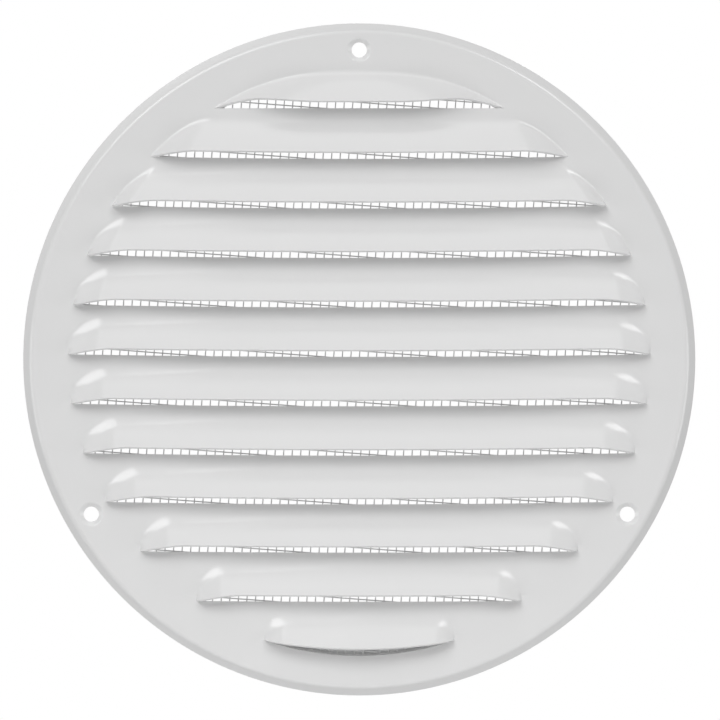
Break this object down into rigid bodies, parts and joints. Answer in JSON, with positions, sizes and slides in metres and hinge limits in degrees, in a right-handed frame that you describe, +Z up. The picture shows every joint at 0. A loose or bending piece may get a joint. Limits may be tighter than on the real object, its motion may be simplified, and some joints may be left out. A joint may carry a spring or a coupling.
{
  "type": "round louvred vent cover",
  "caption": "Round pressed-metal vent cover with downward louvres, dimpled screw holes, a turned-back rim and a fine wire insect screen behind.",
  "frame": {"origin": "centre of the cover on the wall plane, which its rim's back edge lies on", "axes": "+X to the right seen from the front, +Y into the wall, +Z up"},
  "size_m": [0.2, 0.011, 0.2],
  "materials": {
    "white_coat": "semi-gloss white powder coat",
    "screen_wire": "dull drawn wire",
    "adhesive": "matt grey sealant"
  },
  "bodies": {
    "root": {"louvre_plate": "white_coat", "insect_screen": "screen_wire", "screen_bead": "adhesive"}
  },
  "joints": []
}
